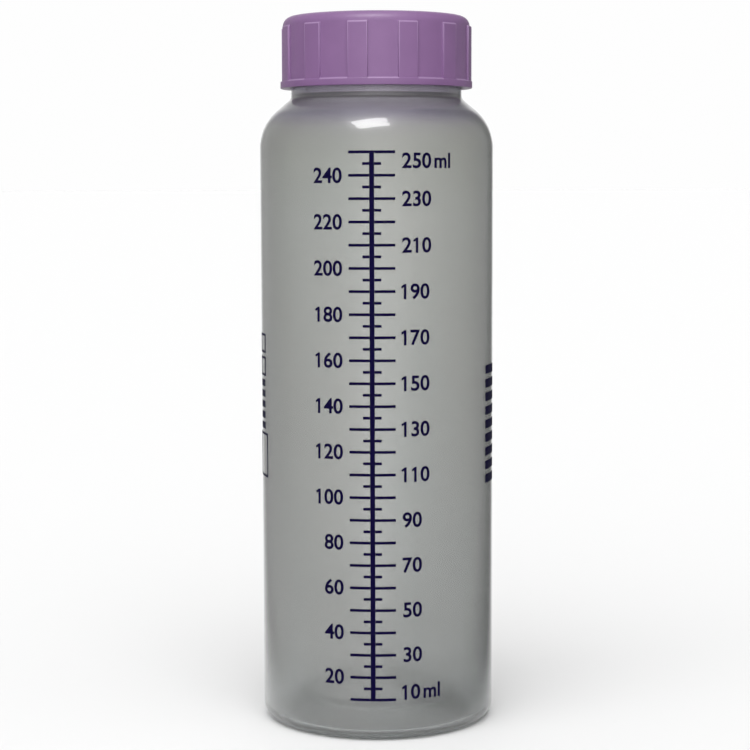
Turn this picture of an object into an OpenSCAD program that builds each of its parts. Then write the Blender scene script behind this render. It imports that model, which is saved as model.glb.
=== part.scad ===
// Graduated bottle with a screw cap.
// +Z is up, the origin is the centre of the base, and the graduation faces -Y.
// Sizes are in millimetres, angles in degrees.

/* [Body] */
// Outside diameter of the straight wall
body_d = 52.6; // [42:0.1:66]
// Height of the straight wall, from the base to where the shoulder starts
straight_h = 129.9; // [60:0.1:180]
// Thickness of the wall
wall_t = 1; // [0.7:0.05:1.5]
// Thickness of the floor
floor_t = 1.6; // [1:0.1:2.5]
// Outside radius of the corner between the wall and the base
base_corner_r = 3; // [2.5:0.1:4]
// Inside radius of the corner between the wall and the floor
floor_corner_r = 2; // [1:0.1:2.5]
// Width of the ring that the bottle stands on
foot_w = 1.3; // [0.8:0.1:2]
// How far the middle of the base is pushed up
punt_h = 5; // [2:0.1:7]
// Width of the slope from the foot ring up to the middle of the base
punt_slope_w = 6; // [4:0.1:9]

/* [Shoulder and neck] */
// Radius of the rounded part of the shoulder
shoulder_r = 11; // [8:0.1:14]
// Slope of the shoulder above the rounded part, measured from the vertical
shoulder_slope = 50; // [40:1:60]
// Outside diameter of the smooth collar under the thread
collar_d = 38.4; // [30:0.1:41]
// Height of the collar above the shoulder
collar_h = 3.3; // [2:0.1:5]
// Radius of the fillet between the shoulder and the collar
collar_fillet_r = 1.5; // [0.5:0.1:2]
// Height of the threaded neck above the collar
neck_h = 12.5; // [10:0.1:16]
// Thickness of the neck at the root of its thread
neck_t = 1.5; // [1.2:0.1:2]
// Size of the bevels on the neck's rim and in the cap's mouth
rim_bevel = 0.3; // [0.2:0.05:0.5]

/* [Thread] */
// Rise of the thread in one turn
thread_lead = 4; // [3.6:0.1:5]
// Height of a ridge above its wall
thread_depth = 1.2; // [0.9:0.05:1.5]
// Width of a ridge where it meets its wall
thread_base_w = 2.2; // [1.8:0.05:2.3]
// Width of a ridge along its crest
thread_crest_w = 1; // [0.6:0.05:1.1]
// Gap between a ridge's crest and the wall that it faces
thread_crest_gap = 0.35; // [0.25:0.05:0.4]
// Gap between the faces that press together when the cap is tight
thread_face_gap = 0.3; // [0.25:0.05:0.4]
// Room left over and under a ridge
thread_margin = 1.2; // [0.6:0.1:1.5]
// Turn at which the neck's ridge starts
thread_turn = 40; // [0:5:355]

/* [Cap] */
// Thickness of the cap's wall between its grips
cap_wall_t = 1.5; // [1.2:0.1:2.5]
// Thickness of the cap's top
cap_top_t = 1.4; // [1:0.1:2]
// Radius of the cap's top edge
cap_edge_r = 2.2; // [1.5:0.1:2.4]
// How far the cap reaches down over the collar
cap_overlap = 1; // [0.5:0.1:1.5]
// Gap all round between the cap's bore and the collar
cap_gap = 0.3; // [0.25:0.05:0.5]
// How far the band at the cap's lower edge stands out
band_out = 0.6; // [0.4:0.05:0.8]
// Height of that band
band_h = 1.55; // [1:0.05:2.5]
// How many raised grips stand round the cap
grip_count = 12; // [8:1:16]
// Angle that one grip covers
grip_angle = 11.7; // [8:0.1:14]
// How far a grip stands out
grip_out = 0.45; // [0.3:0.05:0.6]
// Turn of the first grip away from the middle of the graduation
grip_turn = 21.3; // [0:0.1:45]
// Size of the bevels on the band and on the grips
grip_bevel = 0.15; // [0.1:0.05:0.25]

/* [Sealing disc] */
// Thickness of the disc that seals the neck
disc_t = 1; // [0.8:0.1:1.5]
// How far the disc reaches out over the ring that keeps it in the cap
disc_hold = 0.4; // [0.2:0.05:0.6]
// Play between the disc and the underside of the cap's top
disc_play = 0.05; // [0.05:0.01:0.2]
// Gap all round between that ring and the neck
keeper_gap = 0.55; // [0.4:0.05:0.7]
// Height of that ring
keeper_h = 1; // [0.6:0.1:1.2]

/* [Print] */
// Thickness of the printed ink
ink_t = 0.05; // [0.03:0.01:0.1]
// Width of the upright line of the graduation
spine_w = 1.05; // [0.6:0.05:1.5]
// Thickness of each mark
mark_h = 0.6; // [0.4:0.05:0.8]
// Length of a long mark, round the wall
long_mark = 10.1; // [6:0.1:14]
// Length of a short mark, round the wall
short_mark = 4.05; // [2:0.1:6]
// Volume between two long marks, in millilitres
mark_ml = 10; // [10, 20]
// Thickness of the outlines on the side prints
line_w = 0.5; // [0.3:0.05:0.8]
// How far the lot box reaches down below the middle of the graduation
lot_box_drop = 13; // [10:0.5:15]
// Turn of the lot box away from the middle of the graduation
lot_box_turn = 75.2; // [60:0.1:90]
// How far the bars reach down below the middle of the graduation
name_bars_drop = 14.2; // [10:0.1:18]
// Turn of the bars away from the middle of the graduation, the other way
name_bars_turn = 77.3; // [60:0.1:90]
// Length of the bars, round the wall
name_bar_w = 7.4; // [4:0.1:12]
// How many bars there are
name_bar_count = 9; // [3:1:10]

/* [Hidden] */
$fn = 96;

// The body's inside.
body_r = body_d / 2;
bore_r = body_r - wall_t;
foot_out_r = body_r - base_corner_r;
foot_in_r = foot_out_r - foot_w;
punt_top_r = foot_in_r - punt_slope_w;
corner_steps = 8;
slope_steps = 12;

// Volume that the floor, the pushed-up base and the floor's rounded corner take from the bore.
bore_area = PI * pow(bore_r, 2);
punt_volume = PI * punt_h
    * ((pow(punt_top_r, 2) + pow(foot_in_r, 2)) / 2 - 2 * pow(punt_slope_w / PI, 2));
corner_volume = (1 - PI / 4) * pow(floor_corner_r, 2) * 2 * PI * (bore_r - 0.22 * floor_corner_r);
lost_volume = bore_area * floor_t + punt_volume + corner_volume;

// Shoulder, collar and neck. The cone of the shoulder runs on to the collar.
shoulder_in = shoulder_r * (1 - cos(shoulder_slope));
cone_r = body_r - shoulder_in;
cone_z = straight_h + shoulder_r * sin(shoulder_slope);
collar_r = collar_d / 2;
collar_z = cone_z + (cone_r - collar_r) / tan(shoulder_slope);
neck_z = collar_z + collar_h;
rim_z = neck_z + neck_h;
cap_bore_r = collar_r + cap_gap;
thread_root_r = cap_bore_r - thread_depth - thread_crest_gap;
mouth_r = thread_root_r - neck_t;
inner_arc_r = shoulder_r - wall_t;
inner_cone_r = bore_r - inner_arc_r * (1 - cos(shoulder_slope));
inner_cone_z = straight_h + inner_arc_r * sin(shoulder_slope);
mouth_z = inner_cone_z + (inner_cone_r - mouth_r) / tan(shoulder_slope);

// Cap. It is closed, with its disc on the neck's rim.
disc_z = rim_z;
cap_ceiling_z = rim_z + disc_t + disc_play;
cap_top_z = cap_ceiling_z + cap_top_t;
cap_z = neck_z - cap_overlap;
cap_r = cap_bore_r + cap_wall_t;
band_r = cap_r + band_out;
band_top_z = cap_z + band_h;
grip_r = cap_r + grip_out;
grip_top_z = cap_top_z - cap_edge_r - grip_bevel;
recess_sink = 0.05;
keeper_r = thread_root_r + keeper_gap;
disc_r = keeper_r + disc_hold;
disc_drop = 0.2;
keeper_top_z = disc_z - disc_drop;
keeper_z = keeper_top_z - keeper_h;

// Threads, right-handed and one start. The cap's ridge runs just under the neck's ridge.
thread_steps = 48;
thread_sink = 0.4;
thread_end_sink = 0.1;
thread_fade = 30;
thread_low_z = neck_z + thread_margin + thread_base_w / 2;
thread_high_z = keeper_z - thread_margin - thread_base_w / 2;
thread_sweep = 360 * (thread_high_z - thread_low_z) / thread_lead;
flank = (thread_base_w - thread_crest_w) / 2 / thread_depth;
thread_step_down = (thread_base_w + thread_crest_w) / 2 - flank * thread_crest_gap + thread_face_gap;
cap_thread_turn = thread_turn + 360 * thread_step_down / thread_lead;

// Prints.
facing = 270;
deg_per_mm = 180 / (PI * body_r);
mark_step = mark_ml * 1000 / bore_area;
mark_clear = 0.5;
ink_fn = 720;
ink_gap = 0.02;
highest_mark = floor(((straight_h - mark_clear) * bore_area - lost_volume) / (mark_ml * 1000));

// Height at which the bottle holds this many steps of the graduation.
function mark_z(steps) = lost_volume / bore_area + steps * mark_step;

scale_mid_z = (mark_z(1) + mark_z(highest_mark)) / 2;

// Points of a round stretch about a centre, between two angles.
function arc(centre, radius, from, to, steps = corner_steps) =
    [for (i = [0 : steps])
        let (a = from + (to - from) * i / steps)
        centre + radius * [cos(a), sin(a)]];

// The pushed-up middle of the base, from its centre out to the foot ring, raised by lift.
function punt_line(lift) = concat(
    [[0, punt_h + lift]],
    [for (i = [0 : slope_steps])
        let (u = i / slope_steps)
        [punt_top_r + punt_slope_w * u, lift + punt_h * (1 + cos(180 * u)) / 2]]);

// Corners of a ridge's cross-section at one turn: grown is 0 where it fades out and 1 in full.
// side is 1 for a ridge that stands out of a wall and -1 for one that stands into a bore.
function ridge_section(turn, z, wall_r, side, grown) =
    let (
        root_r = wall_r - side * thread_sink,
        root_half = thread_base_w / 2 + flank * thread_sink,
        crest_r = wall_r + side * (thread_depth * grown - thread_end_sink * (1 - grown)),
        crest_half = thread_base_w / 2 - flank * thread_depth * grown)
    [for (p = [[root_r, -root_half], [crest_r, -crest_half], [crest_r, crest_half], [root_r, root_half]])
        [p[0] * cos(turn), p[0] * sin(turn), z + p[1]]];

// A helical ridge from its lowest point up, fading out at both ends.
module ridge(start_turn, wall_r, side) {
    steps = ceil(thread_sweep / 360 * thread_steps);
    last = 4 * steps;
    points = [for (i = [0 : steps])
        let (
            a = thread_sweep * i / steps,
            grown = min(1, a / thread_fade, (thread_sweep - a) / thread_fade))
        for (p = ridge_section(start_turn + a, thread_low_z + thread_lead * a / 360,
            wall_r, side, max(0, grown))) p];
    walls = [for (i = [0 : steps - 1]) for (k = [0 : 3])
        let (a = 4 * i + k, b = 4 * i + (k + 1) % 4)
        for (f = [[a, b, a + 4], [b, b + 4, a + 4]]) f];
    ends = [[0, 2, 1], [0, 3, 2], [last, last + 1, last + 2], [last, last + 2, last + 3]];
    polyhedron(points,
        [for (f = concat(walls, ends)) side > 0 ? f : [f[0], f[2], f[1]]]);
}

// A patch on the wall: turn is the angle of its middle, wide is its length round the wall.
module ink_patch(turn, wide, z, tall, from_r = body_r, to_r = body_r + ink_t) {
    angle = wide * deg_per_mm;
    rotate([0, 0, turn - angle / 2])
        rotate_extrude(angle = angle, $fn = ink_fn)
            translate([from_r, z - tall / 2])
                square([to_r - from_r, tall]);
}

// An outlined box of ink with nothing in it.
module ink_box(turn, wide, z, tall) {
    difference() {
        ink_patch(turn, wide, z, tall);
        ink_patch(turn, wide - 2 * line_w, z, tall - 2 * line_w, bore_r, body_r + wall_t);
    }
}

// The bottle's wall is one outline, turned about the axis, with the thread's ridge on its neck.
module bottle() {
    outside = concat(
        punt_line(0),
        arc([foot_out_r, base_corner_r], base_corner_r, -90, 0),
        arc([body_r - shoulder_r, straight_h], shoulder_r, 0, shoulder_slope),
        arc([collar_r + collar_fillet_r,
            collar_z + collar_fillet_r * tan(shoulder_slope / 2)],
            collar_fillet_r, 180 + shoulder_slope, 180),
        [[collar_r, neck_z - rim_bevel],
        [collar_r - rim_bevel, neck_z],
        [thread_root_r, neck_z],
        [thread_root_r, rim_z - rim_bevel],
        [thread_root_r - rim_bevel, rim_z]]);
    inside = concat(
        [[mouth_r + rim_bevel, rim_z],
        [mouth_r, rim_z - rim_bevel],
        [mouth_r, mouth_z]],
        arc([bore_r - inner_arc_r, straight_h], inner_arc_r, shoulder_slope, 0),
        arc([bore_r - floor_corner_r, floor_t + floor_corner_r], floor_corner_r, 0, -90),
        [for (i = [slope_steps + 1 : -1 : 0]) punt_line(floor_t)[i]]);
    color([0.62, 0.62, 0.6, 0.6]) {
        rotate_extrude()
            polygon(concat(outside, inside));
        ridge(thread_turn, thread_root_r, 1);
    }
}

// The cap is a turned shell with recesses cut between its grips. A ridge and a keeper ring stand
// into its bore.
module screw_cap() {
    shell = concat(
        [[0, cap_top_z]],
        arc([cap_r - cap_edge_r, cap_top_z - cap_edge_r], cap_edge_r, 90, 0),
        [[cap_r, grip_top_z],
        [grip_r - grip_bevel, grip_top_z],
        [grip_r, grip_top_z - grip_bevel],
        [grip_r, band_top_z],
        [band_r - grip_bevel, band_top_z],
        [band_r, band_top_z - grip_bevel],
        [band_r, cap_z + grip_bevel],
        [band_r - grip_bevel, cap_z],
        [cap_bore_r + rim_bevel, cap_z],
        [cap_bore_r, cap_z + rim_bevel],
        [cap_bore_r, keeper_z],
        [keeper_r, keeper_z + keeper_h / 2],
        [keeper_r, keeper_top_z],
        [cap_bore_r, keeper_top_z],
        [cap_bore_r, cap_ceiling_z],
        [0, cap_ceiling_z]]);
    recess_angle = 360 / grip_count - grip_angle;
    color([0.7, 0.5, 0.75]) {
        difference() {
            rotate_extrude()
                polygon(shell);
            for (i = [0 : grip_count - 1])
                rotate([0, 0, facing + grip_turn + grip_angle / 2 + 360 * i / grip_count])
                    rotate_extrude(angle = recess_angle)
                        translate([cap_r - recess_sink, band_top_z])
                            square([2 * grip_out, grip_top_z + grip_out - band_top_z]);
        }
        ridge(cap_thread_turn, cap_bore_r, -1);
    }
}

// The loose disc lies on the neck's rim, under the cap's top.
module sealing_disc() {
    color([0.93, 0.93, 0.9])
        translate([0, 0, disc_z])
            cylinder(r = disc_r, h = disc_t);
}

// An upright line with a long mark at every step and a short one halfway between. A mark is two
// arms that stop a hair short of the line, so that each of them is a plain solid.
module graduation() {
    color([0.1, 0.05, 0.3]) {
        ink_patch(facing, spine_w, scale_mid_z, mark_z(highest_mark) - mark_z(1) + mark_h);
        for (i = [2 : 2 * highest_mark], side = [-1, 1]) {
            mark_w = i % 2 == 0 ? long_mark : short_mark;
            arm_w = (mark_w - spine_w) / 2 - ink_gap;
            ink_patch(facing + side * (mark_w - arm_w) / 2 * deg_per_mm, arm_w, mark_z(i / 2), mark_h);
        }
    }
}

// An empty box to stamp a lot number in, with a column of plain shapes above it.
module lot_box() {
    box_w = 7.5;
    box_h = 10;
    dash_w = 3.6;
    dash_h = 1.5;
    dash_count = 5;
    gap = 0.9;
    shape_w = 5;
    shape_h = 4.3;
    turn = facing - lot_box_turn;
    low_z = scale_mid_z - lot_box_drop;
    dash_z = low_z + box_h + gap;
    shape_z = dash_z + dash_count * (dash_h + gap);
    color([0.1, 0.05, 0.3]) {
        ink_box(turn, box_w, low_z + box_h / 2, box_h);
        for (i = [0 : dash_count - 1])
            ink_patch(turn, dash_w, dash_z + dash_h / 2 + i * (dash_h + gap), dash_h);
        for (i = [0 : 1])
            ink_box(turn, shape_w, shape_z + shape_h / 2 + i * (shape_h + gap), shape_h);
    }
}

// A column of plain bars round the other side.
module name_bars() {
    bar_h = 1.95;
    gap = 1.13;
    low_z = scale_mid_z - name_bars_drop;
    color([0.1, 0.05, 0.3])
        for (i = [0 : name_bar_count - 1])
            ink_patch(facing + name_bars_turn, name_bar_w, low_z + bar_h / 2 + i * (bar_h + gap), bar_h);
}

bottle();
screw_cap();
sealing_disc();
graduation();
lot_box();
name_bars();
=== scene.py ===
import math

import bmesh
import bpy
from mathutils import Matrix, Vector


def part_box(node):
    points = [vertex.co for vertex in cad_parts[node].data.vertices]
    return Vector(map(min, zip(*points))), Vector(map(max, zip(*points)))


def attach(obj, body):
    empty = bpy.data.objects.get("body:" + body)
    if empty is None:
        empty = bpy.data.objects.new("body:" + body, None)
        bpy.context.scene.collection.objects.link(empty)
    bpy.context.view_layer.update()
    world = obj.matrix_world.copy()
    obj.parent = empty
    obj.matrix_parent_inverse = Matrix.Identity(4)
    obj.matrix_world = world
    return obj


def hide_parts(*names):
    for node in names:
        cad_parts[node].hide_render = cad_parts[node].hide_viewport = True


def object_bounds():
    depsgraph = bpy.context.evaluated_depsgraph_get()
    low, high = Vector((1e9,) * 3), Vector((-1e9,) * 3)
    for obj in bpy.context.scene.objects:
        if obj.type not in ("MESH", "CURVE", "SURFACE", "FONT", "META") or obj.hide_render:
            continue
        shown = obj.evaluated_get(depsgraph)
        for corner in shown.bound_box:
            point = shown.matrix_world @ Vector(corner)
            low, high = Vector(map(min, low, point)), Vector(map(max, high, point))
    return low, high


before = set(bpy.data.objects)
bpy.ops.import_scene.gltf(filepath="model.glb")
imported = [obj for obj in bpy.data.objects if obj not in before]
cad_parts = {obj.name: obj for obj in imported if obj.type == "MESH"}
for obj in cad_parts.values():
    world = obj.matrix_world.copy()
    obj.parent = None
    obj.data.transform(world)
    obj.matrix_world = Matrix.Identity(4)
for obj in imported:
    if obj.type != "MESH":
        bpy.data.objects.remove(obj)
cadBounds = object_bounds()

scene = bpy.context.scene
scene.view_settings.view_transform = "Standard"  # plain tones, so the greys stay where they are set
mm = 0.001
print("frame loaded:", len(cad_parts), "parts")


# outlines are drawn in (radius, height) millimetres and then spun about the bottle's axis

def lineTo(bm, tip, r, z, steps=1):  # carries the outline on in a straight stretch
    step = (Vector((r, 0, z)) * mm - tip.co) / steps
    for i in range(steps):
        tip = bmesh.ops.extrude_vert_indiv(bm, verts=[tip])["verts"][0]
        tip.co += step
    return tip


def bendRound(bm, tip, r, z, degrees, steps=6):  # carries it on round a centre, anticlockwise if positive
    made = bmesh.ops.spin(bm, geom=[tip], cent=(r * mm, 0, z * mm), axis=(0, -1, 0), dvec=(0, 0, 0),
                          angle=math.radians(degrees), steps=steps)
    return made["geom_last"][0]


def spinOutline(bm, steps):
    bmesh.ops.spin(bm, geom=bm.verts[:] + bm.edges[:], cent=(0, 0, 0), axis=(0, 0, 1), dvec=(0, 0, 0),
                   angle=math.tau, steps=steps, use_merge=True)
    bmesh.ops.remove_doubles(bm, verts=bm.verts, dist=1e-6)
    bmesh.ops.recalc_face_normals(bm, faces=bm.faces)


def polar(v):  # a vertex as radius and height in millimetres, and angle in degrees
    return math.hypot(v.co.x, v.co.y) / mm, v.co.z / mm, math.degrees(math.atan2(v.co.y, v.co.x))


def finishPiece(bm, name, body, material, creaseDeg=35):
    mesh = bpy.data.meshes.new(name)
    bm.to_mesh(mesh)
    bm.free()
    piece = bpy.data.objects.new(name, mesh)
    scene.collection.objects.link(piece)
    mesh.materials.append(material)
    mesh.shade_smooth()
    mesh.set_sharp_from_angle(angle=math.radians(creaseDeg))
    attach(piece, body)
    print("made", name, "with", len(mesh.polygons), "faces")
    return piece


# materials

def newMaterial(name):
    material = bpy.data.materials.new(name)
    material.use_nodes = True
    tree = material.node_tree
    return material, tree.nodes, tree.links, tree.nodes["Principled BSDF"]


def noiseOn(nodes, links, scale, detail=2.0, stretch=(1, 1, 1)):  # noise in the piece's own space
    coords = nodes.new("ShaderNodeTexCoord")
    mapping = nodes.new("ShaderNodeMapping")
    mapping.inputs["Scale"].default_value = stretch
    noise = nodes.new("ShaderNodeTexNoise")
    noise.inputs["Scale"].default_value = scale
    noise.inputs["Detail"].default_value = detail
    links.new(coords.outputs["Object"], mapping.inputs["Vector"])
    links.new(mapping.outputs["Vector"], noise.inputs["Vector"])
    return noise.outputs["Fac"]


def mixColours(nodes, links, factor, first, second, blend="MIX"):
    mix = nodes.new("ShaderNodeMix")
    mix.data_type = "RGBA"
    mix.blend_type = blend
    if factor is None:
        mix.inputs[0].default_value = 1
    else:
        links.new(factor, mix.inputs[0])
    for socket, colour in ((mix.inputs[6], first), (mix.inputs[7], second)):
        if isinstance(colour, bpy.types.NodeSocket):
            links.new(colour, socket)
        else:
            socket.default_value = (*colour, 1)
    return mix.outputs[2]


def spread(nodes, links, value, low, high, fromLow=0.3, fromHigh=0.7):  # fits a value to a range
    fit = nodes.new("ShaderNodeMapRange")
    for socket, place in (("From Min", fromLow), ("From Max", fromHigh), ("To Min", low), ("To Max", high)):
        fit.inputs[socket].default_value = place
    links.new(value, fit.inputs["Value"])
    return fit.outputs["Result"]


def rampOf(nodes, links, value, stops):  # stops are (place, grey or colour)
    ramp = nodes.new("ShaderNodeValToRGB")
    elements = ramp.color_ramp.elements
    for i, (place, tone) in enumerate(stops):
        stop = elements[i] if i < 2 else elements.new(place)
        stop.position = place
        stop.color = (*(tone if isinstance(tone, tuple) else (tone,) * 3), 1)
    links.new(value, ramp.inputs["Fac"])
    return ramp.outputs["Color"]


def bumpFrom(nodes, links, height, distance, strength):
    bump = nodes.new("ShaderNodeBump")
    bump.inputs["Distance"].default_value = distance
    bump.inputs["Strength"].default_value = strength
    links.new(height, bump.inputs["Height"])
    return bump.outputs["Normal"]


plasticLook = {
    "tintWithPaintedLight": (  # from the foot to the top: the grey tint of the plastic with painted light and shade in it
        # painted light at the foot, against the shade of the floor beneath it
        (0.0, (0.80, 0.80, 0.79)),
        (0.055, (0.79, 0.79, 0.78)),
        (0.10, (0.69, 0.685, 0.67)),
        (0.45, (0.677, 0.674, 0.654)),
        (0.72, (0.690, 0.687, 0.662)),
        (0.80, (0.658, 0.655, 0.624)),
        (0.845, (0.620, 0.610, 0.585)),
        # painted reflection of the cap: a dark mauve line on the shoulder and mauve bands above it
        (0.863, (0.410, 0.370, 0.465)),
        (0.869, (0.575, 0.545, 0.600)),
        (0.876, (0.590, 0.555, 0.605)),
        (0.8825, (0.92, 0.89, 0.92)),  # painted light on the fillet below the collar, against the shade of its thick wall
        (0.887, (0.96, 0.92, 0.97)),
        # the cap's mauve painted into the neck, as if seen through it
        (0.893, (0.71, 0.63, 0.73)),
        (0.94, (0.77, 0.75, 0.77)),
    ),
    "cloud": (0.965, 0.985, 0.99),
    "cloudScale": 45,
    "cloudStretch": (1, 1, 0.35),  # along the draw of the plastic
    "grainScale": 3200,
    "grainDepth": 0.00002,
    "clear": 0.90,
    "haze": 0.22,  # roughness of the moulded skin
    "gloss": 0.6,  # weight of the smooth sheen on top of it
    "glossRough": 0.06,
    "ior": 1.45,
    "depthTint": (0.15, 0.30, 0.34),  # what a long way through the wall leaves
    "depthDensity": 70,
}


def makeBottlePlastic():  # thin see-through plastic with a grey, slightly milky body, and painted light and shade by height
    look = plasticLook
    material, nodes, links, shader = newMaterial("bottlePlastic")
    shader.inputs["Transmission Weight"].default_value = look["clear"]
    shader.inputs["IOR"].default_value = look["ior"]
    shader.inputs["Coat Weight"].default_value = look["gloss"]
    shader.inputs["Coat Roughness"].default_value = look["glossRough"]
    shader.inputs["Coat IOR"].default_value = look["ior"]
    cloud = noiseOn(nodes, links, look["cloudScale"], 3, look["cloudStretch"])
    grain = noiseOn(nodes, links, look["grainScale"])
    coords = nodes.new("ShaderNodeTexCoord")
    split = nodes.new("ShaderNodeSeparateXYZ")
    links.new(coords.outputs["Object"], split.inputs["Vector"])
    height = spread(nodes, links, split.outputs["Z"], 0, 1, 0, cadBounds[1].z)
    # the grey tint by height, with its painted light, shade and reflection of the cap
    body = rampOf(nodes, links, height, look["tintWithPaintedLight"])
    tone = mixColours(nodes, links, spread(nodes, links, cloud, 0, 1), (1, 1, 1), look["cloud"])
    links.new(mixColours(nodes, links, None, body, tone, "MULTIPLY"), shader.inputs["Base Color"])
    haze = spread(nodes, links, grain, look["haze"] - 0.03, look["haze"] + 0.04)
    links.new(haze, shader.inputs["Roughness"])
    links.new(bumpFrom(nodes, links, grain, look["grainDepth"], 0.05), shader.inputs["Normal"])
    depth = nodes.new("ShaderNodeVolumeAbsorption")
    depth.inputs["Color"].default_value = (*look["depthTint"], 1)
    depth.inputs["Density"].default_value = look["depthDensity"]
    links.new(depth.outputs["Volume"], nodes["Material Output"].inputs["Volume"])
    return material


capLook = {
    "colour": (0.205, 0.105, 0.242),
    "deep": (0.188, 0.096, 0.224),
    # painted highlight on the edges of the grips and on the band's top edge
    "edge": (0.33, 0.21, 0.38),
    "toneScale": 120,
    "grainScale": 2400,
    "grainDepth": 0.00004,
    "rough": 0.40,
}


def makeCapPlastic():  # moulded plastic with a fine grain, and painted highlights along the edges of its grips and on the top of its band
    look = capLook
    material, nodes, links, shader = newMaterial("capPlastic")
    shader.inputs["Specular IOR Level"].default_value = 0.4
    tone = noiseOn(nodes, links, look["toneScale"], 3)
    grain = noiseOn(nodes, links, look["grainScale"], 3)
    # the painted highlights, as shares that shapeGrips sets on the mesh
    edge = nodes.new("ShaderNodeAttribute")
    edge.attribute_name = "edge"
    body = mixColours(nodes, links, spread(nodes, links, tone, 0, 1), look["colour"], look["deep"])
    body = mixColours(nodes, links, edge.outputs["Fac"], body, look["edge"])
    links.new(body, shader.inputs["Base Color"])
    rough = spread(nodes, links, grain, look["rough"] - 0.06, look["rough"] + 0.08)
    links.new(rough, shader.inputs["Roughness"])
    links.new(bumpFrom(nodes, links, grain, look["grainDepth"], 0.35), shader.inputs["Normal"])
    return material


discLook = {
    "colour": (0.84, 0.84, 0.81),
    "cell": (0.74, 0.74, 0.70),
    "cellScale": 1800,
    "cellDepth": 0.00005,
    "rough": 0.6,
}


def makeDiscFoam():  # closed-cell foam
    look = discLook
    material, nodes, links, shader = newMaterial("discFoam")
    coords = nodes.new("ShaderNodeTexCoord")
    cells = nodes.new("ShaderNodeTexVoronoi")
    cells.inputs["Scale"].default_value = look["cellScale"]
    links.new(coords.outputs["Object"], cells.inputs["Vector"])
    wall = spread(nodes, links, cells.outputs["Distance"], 0, 1, 0.2, 0.8)
    links.new(mixColours(nodes, links, wall, look["colour"], look["cell"]), shader.inputs["Base Color"])
    dents = bumpFrom(nodes, links, cells.outputs["Distance"], look["cellDepth"], 0.3)
    links.new(dents, shader.inputs["Normal"])
    shader.inputs["Roughness"].default_value = look["rough"]
    return material


inkLook = {
    "colour": (0.0010, 0.0003, 0.018),
    "thin": (0.003, 0.001, 0.032),
    "mottleScale": 1500,
    "rough": 0.5,
}


def makeInk():  # screen-printed ink, a little thinner here and there
    look = inkLook
    material, nodes, links, shader = newMaterial("printedInk")
    shader.inputs["Specular IOR Level"].default_value = 0.04
    mottle = noiseOn(nodes, links, look["mottleScale"], 4)
    colour = mixColours(nodes, links, spread(nodes, links, mottle, 0, 1), look["colour"], look["thin"])
    links.new(colour, shader.inputs["Base Color"])
    rough = spread(nodes, links, mottle, look["rough"] - 0.08, look["rough"] + 0.1)
    links.new(rough, shader.inputs["Roughness"])
    return material


bottlePlastic = makeBottlePlastic()
capPlastic = makeCapPlastic()
discFoam = makeDiscFoam()
printedInk = makeInk()
print("materials ready")


# the screw thread, one ridge on the neck and one in the cap

thread = {
    "lead": 4.0,  # rise in one turn
    "depth": 1.2,
    "baseHalf": 1.1,
    "crestHalf": 0.5,
    "margin": 1.2,
    "crestGap": 0.35,
    "faceGap": 0.3,
    "fadeDeg": 30,
    "startDeg": 40,
    "rowGap": 0.16,
}


def ridgeHeight(angle, z, start, lowZ, highZ):  # how far a ridge stands out of its wall at one place
    lead = thread["lead"]
    sweep = 360 * (highZ - lowZ) / lead
    turn = (angle - start) % 360
    best = 0
    while turn <= sweep:
        away = abs(z - (lowZ + lead * turn / 360))
        flank = (thread["baseHalf"] - away) / (thread["baseHalf"] - thread["crestHalf"])
        fade = min(1, turn / thread["fadeDeg"], (sweep - turn) / thread["fadeDeg"])
        best = max(best, min(1, max(0, flank)) * fade)
        turn += 360
    return best * thread["depth"]


def raiseRidge(bm, wallR, side, start, lowZ, highZ):  # side 1 stands out of a wall, -1 into a bore
    for v in bm.verts:
        r, z, angle = polar(v)
        if abs(r - wallR) < 0.01:
            rise = ridgeHeight(angle, z, start, lowZ, highZ)
            v.co.x *= (r + side * rise) / r
            v.co.y *= (r + side * rise) / r


# bottle

bottle = {
    "wall": 1.0,
    "floor": 1.6,
    "cornerR": 3.0,
    "floorCornerR": 2.0,
    "footW": 1.3,
    "puntH": 5.0,
    "puntSlopeW": 6.0,
    "puntSteps": 14,
    "straightH": 129.9,
    "shoulderR": 11.0,
    "slopeDeg": 50,
    "collarR": 19.2,
    "collarH": 3.3,
    "filletR": 1.5,
    "neckH": 12.5,
    "neckT": 1.5,
    "boreGap": 0.3,  # between the collar and the cap
    "rimBevel": 0.3,
    "keeperRoom": 1.2,  # left above the thread for the ring in the cap
    "wallRows": 11,
    "steps": 192,
}

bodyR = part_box("bottle")[1].x / mm
boreR = bodyR - bottle["wall"]
slope = math.radians(bottle["slopeDeg"])
shoulderMidR = bodyR - bottle["shoulderR"]
coneR = shoulderMidR + bottle["shoulderR"] * math.cos(slope)
coneZ = bottle["straightH"] + bottle["shoulderR"] * math.sin(slope)
collarZ = coneZ + (coneR - bottle["collarR"]) / math.tan(slope)
neckZ = collarZ + bottle["collarH"]
rimZ = neckZ + bottle["neckH"]
capBoreR = bottle["collarR"] + bottle["boreGap"]
rootR = capBoreR - thread["depth"] - thread["crestGap"]
mouthR = rootR - bottle["neckT"]
threadLowZ = neckZ + thread["margin"] + thread["baseHalf"]
threadHighZ = rimZ - bottle["keeperRoom"] - thread["margin"] - thread["baseHalf"]


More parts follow.
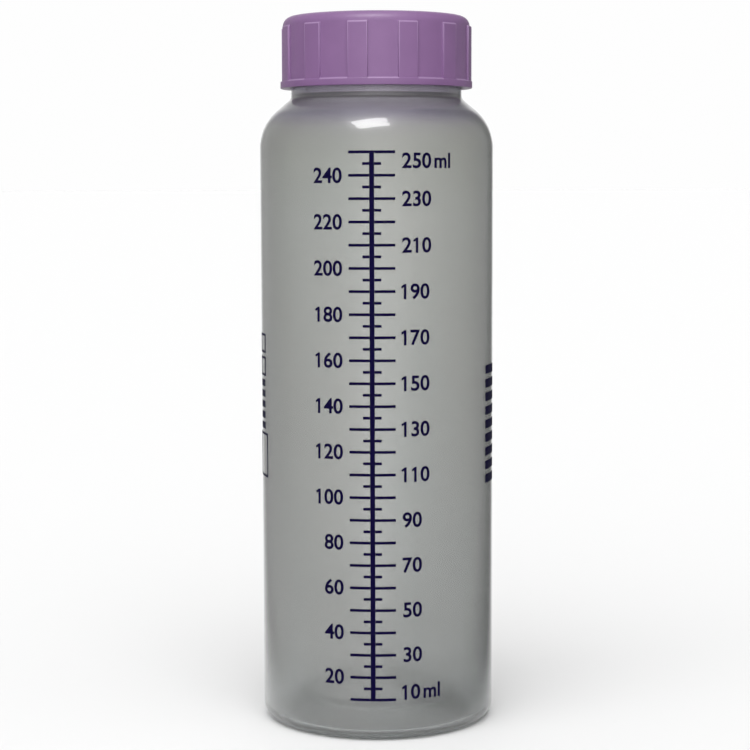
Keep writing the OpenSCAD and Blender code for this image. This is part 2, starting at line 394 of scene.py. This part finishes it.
def makeBottle():
    footR = bodyR - bottle["cornerR"] - bottle["footW"]
    puntR = footR - bottle["puntSlopeW"]
    puntSteps = bottle["puntSteps"]
    punt = []  # radius and height of each point down the side of the pushed-up middle
    for i in range(puntSteps + 1):
        drop = math.cos(math.pi * i / puntSteps) / 2 + 0.5  # from 1 down to 0
        punt.append((puntR + bottle["puntSlopeW"] * i / puntSteps, bottle["puntH"] * drop))
    rows = round((rimZ - neckZ) / thread["rowGap"])
    bevel = bottle["rimBevel"]
    bm = bmesh.new()
    tip = bm.verts.new((0, 0, bottle["puntH"] * mm))
    for i, (r, z) in enumerate(punt):
        tip = lineTo(bm, tip, r, z, 3 if i == 0 else 1)
    tip = lineTo(bm, tip, footR + bottle["footW"], 0)
    tip = bendRound(bm, tip, footR + bottle["footW"], bottle["cornerR"], 90, 10)
    tip = lineTo(bm, tip, bodyR, bottle["straightH"], bottle["wallRows"])
    tip = bendRound(bm, tip, shoulderMidR, bottle["straightH"], bottle["slopeDeg"], 30)
    fillet = bottle["filletR"]
    filletMidR = bottle["collarR"] + fillet
    filletMidZ = collarZ + fillet * math.tan(slope / 2)
    tip = lineTo(bm, tip, filletMidR - fillet * math.cos(slope), filletMidZ - fillet * math.sin(slope))
    tip = bendRound(bm, tip, filletMidR, filletMidZ, -bottle["slopeDeg"], 8)
    tip = lineTo(bm, tip, bottle["collarR"], neckZ - bevel)
    tip = bendRound(bm, tip, bottle["collarR"] - bevel, neckZ - bevel, 90, 4)
    tip = lineTo(bm, tip, rootR, neckZ)
    tip = lineTo(bm, tip, rootR, rimZ - bevel, rows)
    tip = bendRound(bm, tip, rootR - bevel, rimZ - bevel, 90, 4)
    tip = lineTo(bm, tip, mouthR + bevel, rimZ)
    tip = bendRound(bm, tip, mouthR + bevel, rimZ - bevel, 90, 4)
    innerR = bottle["shoulderR"] - bottle["wall"]
    innerConeR = shoulderMidR + innerR * math.cos(slope)
    innerConeZ = bottle["straightH"] + innerR * math.sin(slope)
    tip = lineTo(bm, tip, mouthR, innerConeZ + (innerConeR - mouthR) / math.tan(slope), 4)
    tip = lineTo(bm, tip, innerConeR, innerConeZ, 2)
    tip = bendRound(bm, tip, shoulderMidR, bottle["straightH"], -bottle["slopeDeg"], 18)
    floorCorner = bottle["floorCornerR"]
    tip = lineTo(bm, tip, boreR, bottle["floor"] + floorCorner, bottle["wallRows"])
    tip = bendRound(bm, tip, boreR - floorCorner, bottle["floor"] + floorCorner, -90, 8)
    for r, z in reversed(punt):
        tip = lineTo(bm, tip, r, bottle["floor"] + z)
    lineTo(bm, tip, 0, bottle["floor"] + bottle["puntH"], 2)
    spinOutline(bm, bottle["steps"])
    raiseRidge(bm, rootR, 1, thread["startDeg"], threadLowZ, threadHighZ)
    return finishPiece(bm, "bottleShell", "bottle", bottlePlastic)


bottleShell = makeBottle()
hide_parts("bottle")


# cap

cap = {
    "wall": 1.5,
    "top": 1.4,
    "edgeR": 2.2,
    "overlap": 1.0,  # of the skirt over the collar
    "bandOut": 0.6,
    "bandH": 1.55,
    "gripCount": 12,
    "gripDeg": 11.7,
    "gripOut": 0.45,
    "gripTurn": 21.3,
    "bevel": 0.15,
    "discRoom": 1.05,
    "keeperR": 18.5,
    "keeperH": 1.0,
    "keeperDrop": 0.2,
    "columns": 24,  # columns of faces to one grip and the recess beside it
}

ceilingZ = rimZ + cap["discRoom"]
capTopZ = ceilingZ + cap["top"]
capZ = neckZ - cap["overlap"]
capR = capBoreR + cap["wall"]
bandTopZ = capZ + cap["bandH"]
gripTopZ = capTopZ - cap["edgeR"] - cap["bevel"]
gripRows = (  # height, height share and painted highlight share of each row at the top of the grips
    (gripTopZ + 0.08, 0.07, 0.2),
    (gripTopZ - 0.02, 0.9, 1),
    (gripTopZ - 0.14, 1, 1),
    (gripTopZ - 0.34, 1, 0),
)
bandRows = ((bandTopZ + 0.30, 0), (bandTopZ + 0.10, 0.8), (bandTopZ, 0.9))  # height and painted highlight share


def gripColumns():  # angle, height share and painted highlight share of each column, for one grip and one recess
    half = cap["gripDeg"] / 2
    side = [(-0.24, 1, 0), (-0.10, 1, 0.9), (0.0, 0.92, 0.9), (0.08, 0.08, 0.2), (0.20, 0, 0)]
    perMm = math.degrees(1 / capR)
    rising = [(-half - off * perMm, share, edge) for off, share, edge in reversed(side)]
    falling = [(half + off * perMm, share, edge) for off, share, edge in side]
    spare = cap["columns"] - 2 * len(side)
    inner = spare // 2
    outer = spare - inner
    first, last = rising[-1][0], falling[0][0]
    padded = [(first + (last - first) * i / (inner + 1), 1, 0) for i in range(1, inner + 1)]
    first, last = falling[-1][0], rising[0][0] + 360 / cap["gripCount"]
    recess = [(first + (last - first) * i / (outer + 1), 0, 0) for i in range(1, outer + 1)]
    return rising + padded + falling + recess


def shapeGrips(bm):  # moves each column to its angle, raises the grips and sets where highlights are painted on their edges
    edgeLayer = bm.verts.layers.float.new("edge")
    columns = gripColumns()
    steps = cap["gripCount"] * cap["columns"]
    for v in bm.verts:
        r, z, angle = polar(v)
        if r < 0.001:
            continue
        grip, column = divmod(round(angle / 360 * steps) % steps, cap["columns"])
        turn, share, edge = columns[column]
        if abs(r - capR) < 0.001 and z < gripTopZ + 0.1:
            for rowZ, rowShare, rowHighlight in gripRows:
                if abs(z - rowZ) < 0.01:
                    edge = max(edge * rowShare, rowHighlight * share)
                    share *= rowShare
            for rowZ, rowHighlight in bandRows:
                if abs(z - rowZ) < 0.01:
                    edge = rowHighlight * (1 - share)
            r += cap["gripOut"] * share
            v[edgeLayer] = edge
        # painted highlight on the band's top edge
        elif r > capR and z > bandTopZ - cap["bevel"] - 0.05:
            v[edgeLayer] = 0.8 * (1 - share)
        turn = math.radians(270 + cap["gripTurn"] + turn + grip * 360 / cap["gripCount"])
        v.co.x = r * mm * math.cos(turn)
        v.co.y = r * mm * math.sin(turn)


def makeCap():
    bandR = capR + cap["bandOut"]
    keeperTopZ = rimZ - cap["keeperDrop"]
    keeperZ = keeperTopZ - cap["keeperH"]
    bevel = cap["bevel"]
    bm = bmesh.new()
    tip = bm.verts.new((0, 0, capTopZ * mm))
    tip = lineTo(bm, tip, capR - cap["edgeR"], capTopZ, 3)
    tip = bendRound(bm, tip, capR - cap["edgeR"], capTopZ - cap["edgeR"], -90, 10)
    for row in gripRows + bandRows:
        tip = lineTo(bm, tip, capR, row[0])
    tip = lineTo(bm, tip, bandR - bevel, bandTopZ)
    tip = bendRound(bm, tip, bandR - bevel, bandTopZ - bevel, -90, 3)
    tip = lineTo(bm, tip, bandR, bandTopZ - bevel - 0.15)
    tip = lineTo(bm, tip, bandR, capZ + bevel)
    tip = bendRound(bm, tip, bandR - bevel, capZ + bevel, -90, 3)
    tip = lineTo(bm, tip, capBoreR + bottle["rimBevel"], capZ)
    tip = bendRound(bm, tip, capBoreR + bottle["rimBevel"], capZ + bottle["rimBevel"], -90, 3)
    tip = lineTo(bm, tip, capBoreR, keeperZ, round((keeperZ - capZ) / thread["rowGap"]))
    tip = lineTo(bm, tip, cap["keeperR"], keeperZ + cap["keeperH"] / 2)
    tip = lineTo(bm, tip, cap["keeperR"], keeperTopZ)
    tip = lineTo(bm, tip, capBoreR, keeperTopZ)
    tip = lineTo(bm, tip, capBoreR, ceilingZ)
    lineTo(bm, tip, 0, ceilingZ, 3)
    spinOutline(bm, cap["gripCount"] * cap["columns"])
    shapeGrips(bm)
    flank = (thread["baseHalf"] - thread["crestHalf"]) / thread["depth"]
    stepDown = (thread["baseHalf"] + thread["crestHalf"] + thread["faceGap"]
                - thread["crestGap"] * flank)
    start = thread["startDeg"] + 360 * stepDown / thread["lead"]
    raiseRidge(bm, capBoreR, -1, start, threadLowZ, threadHighZ)
    return finishPiece(bm, "capShell", "cap", capPlastic, 50)


capShell = makeCap()
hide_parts("screw_cap")


# sealing disc

disc = {
    "round": 0.25,
    "dentIn": 16.3,
    "dentOut": 18.1,
    "dentEase": 0.2,  # width of each side of the pressed ring
    "dent": 0.12,
    "steps": 144,
}


def makeDisc():
    low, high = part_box("sealing_disc")
    r, z0, z1 = high.x / mm, low.z / mm, high.z / mm
    bm = bmesh.new()
    tip = bm.verts.new((0, 0, z0 * mm))
    # the neck's rim has pressed a ring into the underside
    tip = lineTo(bm, tip, disc["dentIn"] - disc["dentEase"], z0, 4)
    tip = lineTo(bm, tip, disc["dentIn"], z0 + disc["dent"])
    tip = lineTo(bm, tip, disc["dentOut"], z0 + disc["dent"])
    tip = lineTo(bm, tip, disc["dentOut"] + disc["dentEase"], z0)
    tip = lineTo(bm, tip, r - disc["round"], z0)
    tip = bendRound(bm, tip, r - disc["round"], z0 + disc["round"], 90, 4)
    tip = lineTo(bm, tip, r, z1 - disc["round"])
    tip = bendRound(bm, tip, r - disc["round"], z1 - disc["round"], 90, 4)
    lineTo(bm, tip, 0, z1, 4)
    spinOutline(bm, disc["steps"])
    return finishPiece(bm, "sealDisc", "disc", discFoam)


sealDisc = makeDisc()
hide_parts("sealing_disc")


# prints: the scale's lines and the side prints are the frame's own solids with ink on them

for name in ("graduation", "lot_box", "name_bars"):
    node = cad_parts[name]
    node.data.materials.clear()
    node.data.materials.append(printedInk)


# numbers of the scale

number = {
    "high": 3.38,
    "wide": 0.98,  # of the letters' own width
    "bold": 0.019,
    "pitch": 2.27,
    "leftMid": -7.58,  # middle of the last figure in the left column, round the wall
    "rightMid": 7.60,  # middle of the first figure in the right column
    "oneBack": 0.43,  # how much nearer a number that starts with 1 stands
    "unitGap": 1.87,
    "unitStep": 0.45,
    "stemHalf": 0.25,  # half the letter l
    "firstLift": 1.58,  # how far the lowest number stands above its mark
    "lastDrop": 1.83,
    "ink": 0.05,
    "firstMark": 10,
    "lastMark": 250,
    "markStep": 10,
    "markHigh": 0.6,
    "cut": 0.6,
}


def drawOne(bm):  # a figure one with a flag
    high = number["high"] - 0.08
    corners = ((0.28, 0), (0.28, high), (-0.10, high), (-0.88, high - 0.55), (-0.72, high - 0.98),
               (-0.28, high - 0.72), (-0.28, 0))
    bm.faces.new([bm.verts.new((x, y, 0)) for x, y in corners])


def drawLetter(bm, letter, unit):  # a letter of the built-in font, standing on the line about its middle
    curve = bpy.data.curves.new("letter", "FONT")
    curve.body = letter
    curve.size = 1
    curve.offset = number["bold"]
    curve.resolution_u = 6
    holder = bpy.data.objects.new("letter", curve)
    scene.collection.objects.link(holder)
    bpy.context.view_layer.update()
    mesh = bpy.data.meshes.new_from_object(holder.evaluated_get(bpy.context.evaluated_depsgraph_get()))
    bpy.data.objects.remove(holder)
    bpy.data.curves.remove(curve)
    bm.from_mesh(mesh)
    bpy.data.meshes.remove(mesh)
    bmesh.ops.remove_doubles(bm, verts=bm.verts, dist=1e-5)
    xs = [v.co.x for v in bm.verts]
    middle = (min(xs) + max(xs)) / 2
    for v in bm.verts:
        v.co = ((v.co.x - middle) * unit * number["wide"], v.co.y * unit, 0)


def makeLetters():  # each letter that the scale needs, as a flat mesh
    probe = bmesh.new()
    drawLetter(probe, "0", 1)
    ys = [v.co.y for v in probe.verts]
    probe.free()
    unit = number["high"] / (max(ys) - min(ys))
    letters = {}
    for letter in "0123456789ml":
        bm = bmesh.new()
        if letter == "1":
            drawOne(bm)
        else:
            drawLetter(bm, letter, unit)
            bmesh.ops.translate(bm, verts=bm.verts, vec=(0, -min(ys) * unit, 0))
        mesh = bpy.data.meshes.new("letter")
        bm.to_mesh(mesh)
        bm.free()
        letters[letter] = mesh
    return letters


def makeNumbers():
    letters = makeLetters()
    low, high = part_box("graduation")
    firstZ = low.z / mm + number["markHigh"] / 2
    lastZ = high.z / mm - number["markHigh"] / 2
    bm = bmesh.new()

    def place(letter, x, z):
        before = len(bm.verts)
        bm.from_mesh(letters[letter])
        bm.verts.ensure_lookup_table()
        bmesh.ops.translate(bm, verts=bm.verts[before:], vec=(x, z - number["high"] / 2, 0))
        return [v.co.x for v in bm.verts[before:]]

    markRange = number["lastMark"] - number["firstMark"]
    for volume in range(number["firstMark"], number["lastMark"] + 1, number["markStep"]):
        z = firstZ + (lastZ - firstZ) * (volume - number["firstMark"]) / markRange
        figures = str(volume)
        if volume % 20 == 0:
            x = number["leftMid"] - number["pitch"] * (len(figures) - 1)
        else:
            x = number["rightMid"] - (number["oneBack"] if figures[0] == "1" else 0)
        if volume == number["firstMark"]:
            z += number["firstLift"]
        if volume == number["lastMark"]:
            z -= number["lastDrop"]
        for figure in figures:
            place(figure, x, z)
            x += number["pitch"]
        if volume in (number["firstMark"], number["lastMark"]):  # the unit
            left = x - number["pitch"] + number["unitGap"]
            half = max(v.co.x for v in letters["m"].vertices)
            right = max(place("m", left + half, z))
            place("l", right + number["unitStep"] + number["stemHalf"], z)
    x = math.floor(min(v.co.x for v in bm.verts))
    while x < max(v.co.x for v in bm.verts):  # cuts, so that the letters can follow the wall
        everything = bm.verts[:] + bm.edges[:] + bm.faces[:]
        bmesh.ops.bisect_plane(bm, geom=everything, plane_co=(x, 0, 0), plane_no=(1, 0, 0))
        x += number["cut"]
    for face in bm.faces:
        if face.normal.z < 0:
            face.normal_flip()
    raised = bmesh.ops.extrude_face_region(bm, geom=bm.faces[:])
    tops = [part for part in raised["geom"] if isinstance(part, bmesh.types.BMVert)]
    bmesh.ops.translate(bm, verts=tops, vec=(0, 0, number["ink"]))
    bmesh.ops.recalc_face_normals(bm, faces=bm.faces)
    for v in bm.verts:  # wraps the flat letters round the wall
        turn = math.radians(270) + v.co.x / bodyR
        r = bodyR + v.co.z
        v.co = Vector((r * math.cos(turn), r * math.sin(turn), v.co.y)) * mm
    for mesh in letters.values():
        bpy.data.meshes.remove(mesh)
    return finishPiece(bm, "scaleNumbers", "bottle", printedInk, 30)


makeNumbers()


# floor, light and camera

stageLook = {
    "floor": 0.80,
    "backdrop": 0.99,  # what the camera sees past the floor
    "behind": (  # brightness from left to right, as seen from the front
        (0.0, 0.40),
        (0.18, 0.58),
        (0.28, 0.40),
        (0.38, 1.0),
        (0.60, 1.0),
        (0.66, 0.17),
        (0.74, 0.20),
        (0.85, 0.46),
        (1.0, 0.34),
    ),
    "front": ((0.0, 0.55), (0.30, 1.1), (0.45, 1.65), (0.65, 1.45), (1.0, 0.45)),
    "floorFromY": -0.14,  # the floor's painted light and shade fan out from here
    "sunPower": 1.45,
    "sunSoftDeg": 70,
    "sunTiltDeg": 42,
    "sunTurnDeg": -12,
}


def studioTone(nodes, links, direction):  # what stands round the bottle, bright behind it and dark beside it: the sky's light, and the floor's painted light and shade
    split = nodes.new("ShaderNodeSeparateXYZ")
    links.new(direction, split.inputs["Vector"])
    across = spread(nodes, links, split.outputs["X"], 0, 1, -1, 1)
    front = rampOf(nodes, links, across, stageLook["front"])
    behind = rampOf(nodes, links, across, stageLook["behind"])
    return mixColours(nodes, links, spread(nodes, links, split.outputs["Y"], 0, 1, -0.3, 0.3), front, behind)


def makeStage():
    bm = bmesh.new()
    bmesh.ops.create_grid(bm, x_segments=1, y_segments=1, size=20)
    mesh = bpy.data.meshes.new("floor")
    bm.to_mesh(mesh)
    bm.free()
    floor = bpy.data.objects.new("floor", mesh)
    scene.collection.objects.link(floor)
    material, nodes, links, shader = newMaterial("floorWithPaintedShade")
    coords = nodes.new("ShaderNodeTexCoord")
    shift = nodes.new("ShaderNodeMapping")
    shift.inputs["Location"].default_value = (0, -stageLook["floorFromY"], 0)
    unit = nodes.new("ShaderNodeVectorMath")
    unit.operation = "NORMALIZE"
    links.new(coords.outputs["Object"], shift.inputs["Vector"])
    links.new(shift.outputs["Vector"], unit.inputs[0])
    path = nodes.new("ShaderNodeLightPath")
    pale = [stageLook["floor"]] * 3
    # for every ray but the camera's the floor is painted with the studio's light and shade, bright behind the
    # bottle and dark beside it
    paintedSurroundings = mixColours(nodes, links, None, studioTone(nodes, links, unit.outputs["Vector"]), pale, "MULTIPLY")
    seen = mixColours(nodes, links, path.outputs["Is Camera Ray"], paintedSurroundings, pale)
    links.new(seen, shader.inputs["Base Color"])
    shader.inputs["Roughness"].default_value = 1
    shader.inputs["Specular IOR Level"].default_value = 0
    mesh.materials.append(material)


def makeSky():
    world = bpy.data.worlds.new("studio")
    scene.world = world
    world.use_nodes = True
    nodes, links = world.node_tree.nodes, world.node_tree.links
    coords = nodes.new("ShaderNodeTexCoord")
    path = nodes.new("ShaderNodeLightPath")
    sky = studioTone(nodes, links, coords.outputs["Generated"])
    seen = mixColours(nodes, links, path.outputs["Is Camera Ray"], sky, [stageLook["backdrop"]] * 3)
    links.new(seen, nodes["Background"].inputs["Color"])


def addSun():  # soft light from above, even over the whole floor
    light = bpy.data.lights.new("sun", "SUN")
    light.energy = stageLook["sunPower"]
    light.angle = math.radians(stageLook["sunSoftDeg"])
    holder = bpy.data.objects.new("sun", light)
    scene.collection.objects.link(holder)
    holder.rotation_euler = (math.radians(stageLook["sunTiltDeg"]), 0, math.radians(stageLook["sunTurnDeg"]))
    holder.visible_glossy = False
    holder.visible_transmission = False


keyLight = {
    "turnDeg": -6,  # round from the middle of the scale
    "liftDeg": 55.5,
    "away": 1.2,
    "aimZ": 0.135,
    "size": (0.60, 0.45),
    "rollDeg": 24,
    "power": 10,
}


def addKeyLight():  # a softbox that only shows as gloss
    light = bpy.data.lights.new("key", "AREA")
    light.shape = "RECTANGLE"
    light.size, light.size_y = keyLight["size"]
    light.energy = keyLight["power"]
    holder = bpy.data.objects.new("key", light)
    scene.collection.objects.link(holder)
    turn, lift = math.radians(270 + keyLight["turnDeg"]), math.radians(keyLight["liftDeg"])
    aim = Vector((0, 0, keyLight["aimZ"]))
    outward = Vector((math.cos(lift) * math.cos(turn), math.cos(lift) * math.sin(turn), math.sin(lift)))
    place = aim + keyLight["away"] * outward
    holder.location = place
    facing = (aim - place).to_track_quat("-Z", "Y").to_matrix().to_4x4()
    roll = Matrix.Rotation(math.radians(keyLight["rollDeg"]), 4, "Z")
    holder.rotation_euler = (facing @ roll).to_euler()
    holder.visible_diffuse = False
    holder.visible_transmission = False


camera = {
    "away": 0.4534,  # from the bottle's axis
    "high": 0.12327,
    "turnDeg": 2.33,
    "downDeg": 5.65,
    "rollDeg": -0.17,
    "lens": 95.6,
    "shiftX": -0.00293,
}


def makeCamera():
    data = bpy.data.cameras.new("camera")
    data.lens = camera["lens"]
    data.sensor_width = 36
    data.shift_x = camera["shiftX"]
    data.clip_start = 0.01
    holder = bpy.data.objects.new("camera", data)
    scene.collection.objects.link(holder)
    spin = Matrix.Rotation(math.radians(camera["turnDeg"]), 4, "Z")
    place = Matrix.Translation((0, -camera["away"], camera["high"]))
    tilt = Matrix.Rotation(math.radians(90 - camera["downDeg"]), 4, "X")
    roll = Matrix.Rotation(math.radians(camera["rollDeg"]), 4, "Z")
    holder.matrix_world = spin @ place @ tilt @ roll
    scene.camera = holder


makeStage()
makeSky()
addSun()
addKeyLight()
makeCamera()
print("stage, light and camera ready")
